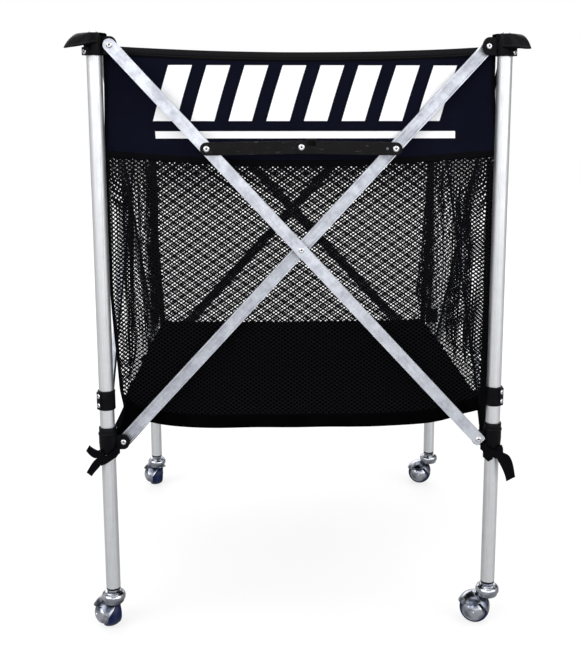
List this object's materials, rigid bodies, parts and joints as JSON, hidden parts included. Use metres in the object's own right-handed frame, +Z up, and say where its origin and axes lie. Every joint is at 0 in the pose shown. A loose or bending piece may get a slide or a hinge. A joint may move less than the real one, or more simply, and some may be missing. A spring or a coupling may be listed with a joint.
{
  "type": "ball cart",
  "caption": "Folding cart for sports balls: four tube posts on ball casters, scissor arms on each side with a toggle lock, and a mesh bag hung between the posts.",
  "frame": {"origin": "on the floor, under the middle of the four posts", "axes": "+Z up, -Y out of the front side, which carries the lock links, +X to the right seen from the front"},
  "size_m": [0.6994, 0.7035, 0.967],
  "materials": {
    "anodised_tube": "satin anodised drawn tube",
    "channel": "bright rolled channel, fine scuffs",
    "nylon": "black moulded nylon, light sheen",
    "leatherette": "black coated fabric",
    "bright_steel": "zinc plated",
    "black_steel": "blackened steel, glossy",
    "caster_zinc": "polished chrome plate",
    "tread": "dark blue moulded tread",
    "bag_mesh": "woven band above open knitted mesh",
    "bag_cloth": "coated woven nylon",
    "tape": "woven tape"
  },
  "bodies": {
    "post_front_left": {"post_front_left": "anodised_tube", "bracket_front_left": "nylon", "flap_front_left": "leatherette", "cap_screw_front_left": "bright_steel", "stop_band_front_left": "nylon", "caster_stem_front_left": "black_steel", "bag_wall_front": "bag_mesh", "bag_wall_left": "bag_mesh", "bag_floor": "bag_cloth"},
    "slider_front_left": {"slider_front_left": "nylon", "tie_front_left": "tape"},
    "caster_front_left": {"caster_hood_front_left": "caster_zinc"},
    "wheel_front_left": {"caster_tyre_front_left": "tread", "caster_hub_front_left": "caster_zinc"},
    "post_front_right": {"post_front_right": "anodised_tube", "bracket_front_right": "nylon", "flap_front_right": "leatherette", "cap_screw_front_right": "bright_steel", "stop_band_front_right": "nylon", "caster_stem_front_right": "black_steel", "bag_wall_right": "bag_mesh"},
    "slider_front_right": {"slider_front_right": "nylon", "tie_front_right": "tape"},
    "caster_front_right": {"caster_hood_front_right": "caster_zinc"},
    "wheel_front_right": {"caster_tyre_front_right": "tread", "caster_hub_front_right": "caster_zinc"},
    "post_back_right": {"post_back_right": "anodised_tube", "bracket_back_right": "nylon", "flap_back_right": "leatherette", "cap_screw_back_right": "bright_steel", "stop_band_back_right": "nylon", "caster_stem_back_right": "black_steel"},
    "slider_back_right": {"slider_back_right": "nylon", "tie_back_right": "tape"},
    "caster_back_right": {"caster_hood_back_right": "caster_zinc"},
    "wheel_back_right": {"caster_tyre_back_right": "tread", "caster_hub_back_right": "caster_zinc"},
    "post_back_left": {"post_back_left": "anodised_tube", "bracket_back_left": "nylon", "flap_back_left": "leatherette", "cap_screw_back_left": "bright_steel", "stop_band_back_left": "nylon", "caster_stem_back_left": "black_steel", "bag_wall_back": "bag_mesh"},
    "slider_back_left": {"slider_back_left": "nylon", "tie_back_left": "tape"},
    "caster_back_left": {"caster_hood_back_left": "caster_zinc"},
    "wheel_back_left": {"caster_tyre_back_left": "tread", "caster_hub_back_left": "caster_zinc"},
    "arm_outer_front": {"arm_outer_front": "channel"},
    "arm_inner_front": {"arm_inner_front": "channel"},
    "arm_outer_right": {"arm_outer_right": "channel"},
    "arm_inner_right": {"arm_inner_right": "channel"},
    "arm_outer_back": {"arm_outer_back": "channel"},
    "arm_inner_back": {"arm_inner_back": "channel"},
    "arm_outer_left": {"arm_outer_left": "channel"},
    "arm_inner_left": {"arm_inner_left": "channel"},
    "lock_link_left": {"lock_link_left": "black_steel"},
    "lock_link_right": {"lock_link_right": "black_steel"}
  },
  "joints": [
    {"name": "fold", "type": "hinge", "parent": "post_front_left", "child": "arm_outer_front", "pos_m": [-0.2854, -0.31, 0.945], "axis": [0, 1, 0], "range_deg": [0, 32.66], "deforming": ["bag_wall_front", "bag_wall_right", "bag_wall_back", "bag_wall_left", "bag_floor"]},
    {"name": "front_crossing", "type": "hinge", "parent": "arm_outer_front", "child": "arm_inner_front", "pos_m": [0, -0.31, 0.63525], "axis": [0, 1, 0], "range_deg": [-65.33, 0]},
    {"name": "front_top_right", "type": "hinge", "parent": "arm_inner_front", "child": "post_front_right", "pos_m": [0.2854, -0.31, 0.945], "axis": [0, 1, 0], "range_deg": [0, 32.67]},
    {"name": "front_low_right", "type": "hinge", "parent": "arm_outer_front", "child": "slider_front_right", "pos_m": [0.2854, -0.31, 0.3255], "axis": [0, 1, 0], "range_deg": [-32.67, 0]},
    {"name": "front_low_left", "type": "hinge", "parent": "arm_inner_front", "child": "slider_front_left", "pos_m": [-0.2854, -0.31, 0.3255], "axis": [0, 1, 0], "range_deg": [0, 32.67]},
    {"name": "left_top_right", "type": "hinge", "parent": "post_front_left", "child": "arm_inner_left", "pos_m": [-0.31, -0.2854, 0.945], "axis": [1, 0, 0], "range_deg": [-32.67, 0]},
    {"name": "left_crossing", "type": "hinge", "parent": "arm_inner_left", "child": "arm_outer_left", "pos_m": [-0.31, 0, 0.63525], "axis": [1, 0, 0], "range_deg": [0, 65.33]},
    {"name": "left_top_left", "type": "hinge", "parent": "arm_outer_left", "child": "post_back_left", "pos_m": [-0.31, 0.2854, 0.945], "axis": [1, 0, 0], "range_deg": [-32.67, 0]},
    {"name": "left_low_left", "type": "hinge", "parent": "arm_inner_left", "child": "slider_back_left", "pos_m": [-0.31, 0.2854, 0.3255], "axis": [1, 0, 0], "range_deg": [0, 32.67]},
    {"name": "right_top_left", "type": "hinge", "parent": "post_front_right", "child": "arm_outer_right", "pos_m": [0.31, -0.2854, 0.945], "axis": [-1, 0, 0], "range_deg": [0, 32.67]},
    {"name": "right_crossing", "type": "hinge", "parent": "arm_outer_right", "child": "arm_inner_right", "pos_m": [0.31, 0, 0.63525], "axis": [-1, 0, 0], "range_deg": [-65.33, 0]},
    {"name": "right_top_right", "type": "hinge", "parent": "arm_inner_right", "child": "post_back_right", "pos_m": [0.31, 0.2854, 0.945], "axis": [-1, 0, 0], "range_deg": [0, 32.67]},
    {"name": "right_low_right", "type": "hinge", "parent": "arm_outer_right", "child": "slider_back_right", "pos_m": [0.31, 0.2854, 0.3255], "axis": [-1, 0, 0], "range_deg": [-32.67, 0]},
    {"name": "back_top_right", "type": "hinge", "parent": "post_back_left", "child": "arm_inner_back", "pos_m": [-0.2854, 0.31, 0.945], "axis": [0, -1, 0], "range_deg": [-32.67, 0]},
    {"name": "back_crossing", "type": "hinge", "parent": "arm_inner_back", "child": "arm_outer_back", "pos_m": [0, 0.31, 0.63525], "axis": [0, -1, 0], "range_deg": [0, 65.33]},
    {"name": "lock_left", "type": "hinge", "parent": "arm_outer_front", "child": "lock_link_left", "pos_m": [-0.14399, -0.31, 0.79153], "axis": [0, 1, 0], "range_deg": [0, 43.55]},
    {"name": "lock_toggle", "type": "hinge", "parent": "lock_link_left", "child": "lock_link_right", "pos_m": [0, -0.31, 0.79413], "axis": [0, 1, 0], "range_deg": [-152.4, 0]},
    {"name": "swivel_front_left", "type": "hinge", "parent": "post_front_left", "child": "caster_front_left", "pos_m": [-0.31, -0.31, 0.065], "axis": [0, 0, 1], "continuous": true},
    {"name": "wheel_front_left", "type": "hinge", "parent": "caster_front_left", "child": "wheel_front_left", "pos_m": [-0.3206, -0.29304, 0.025], "axis": [0.848, 0.5299, 0], "continuous": true},
    {"name": "swivel_front_right", "type": "hinge", "parent": "post_front_right", "child": "caster_front_right", "pos_m": [0.31, -0.31, 0.065], "axis": [0, 0, 1], "continuous": true},
    {"name": "wheel_front_right", "type": "hinge", "parent": "caster_front_right", "child": "wheel_front_right", "pos_m": [0.29146, -0.30251, 0.025], "axis": [0.3746, 0.9272, 0], "continuous": true},
    {"name": "swivel_back_right", "type": "hinge", "parent": "post_back_right", "child": "caster_back_right", "pos_m": [0.31, 0.31, 0.065], "axis": [0, 0, 1], "continuous": true},
    {"name": "wheel_back_right", "type": "hinge", "parent": "caster_back_right", "child": "wheel_back_right", "pos_m": [0.29098, 0.31618, 0.025], "axis": [0.309, 0.9511, 0], "continuous": true},
    {"name": "swivel_back_left", "type": "hinge", "parent": "post_back_left", "child": "caster_back_left", "pos_m": [-0.31, 0.31, 0.065], "axis": [0, 0, 1], "continuous": true},
    {"name": "wheel_back_left", "type": "hinge", "parent": "caster_back_left", "child": "wheel_back_left", "pos_m": [-0.31684, 0.32879, 0.025], "axis": [0.9397, 0.342, 0], "continuous": true}
  ],
  "couplings": [
    {"joint": "front_crossing", "follows": "fold", "ratio": -2},
    {"joint": "front_top_right", "follows": "fold", "ratio": 1},
    {"joint": "front_low_right", "follows": "fold", "ratio": -1},
    {"joint": "front_low_left", "follows": "fold", "ratio": 1},
    {"joint": "left_top_right", "follows": "fold", "ratio": -1},
    {"joint": "left_crossing", "follows": "fold", "ratio": 2},
    {"joint": "left_top_left", "follows": "fold", "ratio": -1},
    {"joint": "left_low_left", "follows": "fold", "ratio": 1},
    {"joint": "right_top_left", "follows": "fold", "ratio": 1},
    {"joint": "right_crossing", "follows": "fold", "ratio": -2},
    {"joint": "right_top_right", "follows": "fold", "ratio": 1},
    {"joint": "right_low_right", "follows": "fold", "ratio": -1},
    {"joint": "back_top_right", "follows": "fold", "ratio": -1},
    {"joint": "back_crossing", "follows": "fold", "ratio": 2},
    {"joint": "lock_left", "follows": "fold", "ratio": 1.3329},
    {"joint": "lock_toggle", "follows": "fold", "ratio": -4.6658}
  ]
}
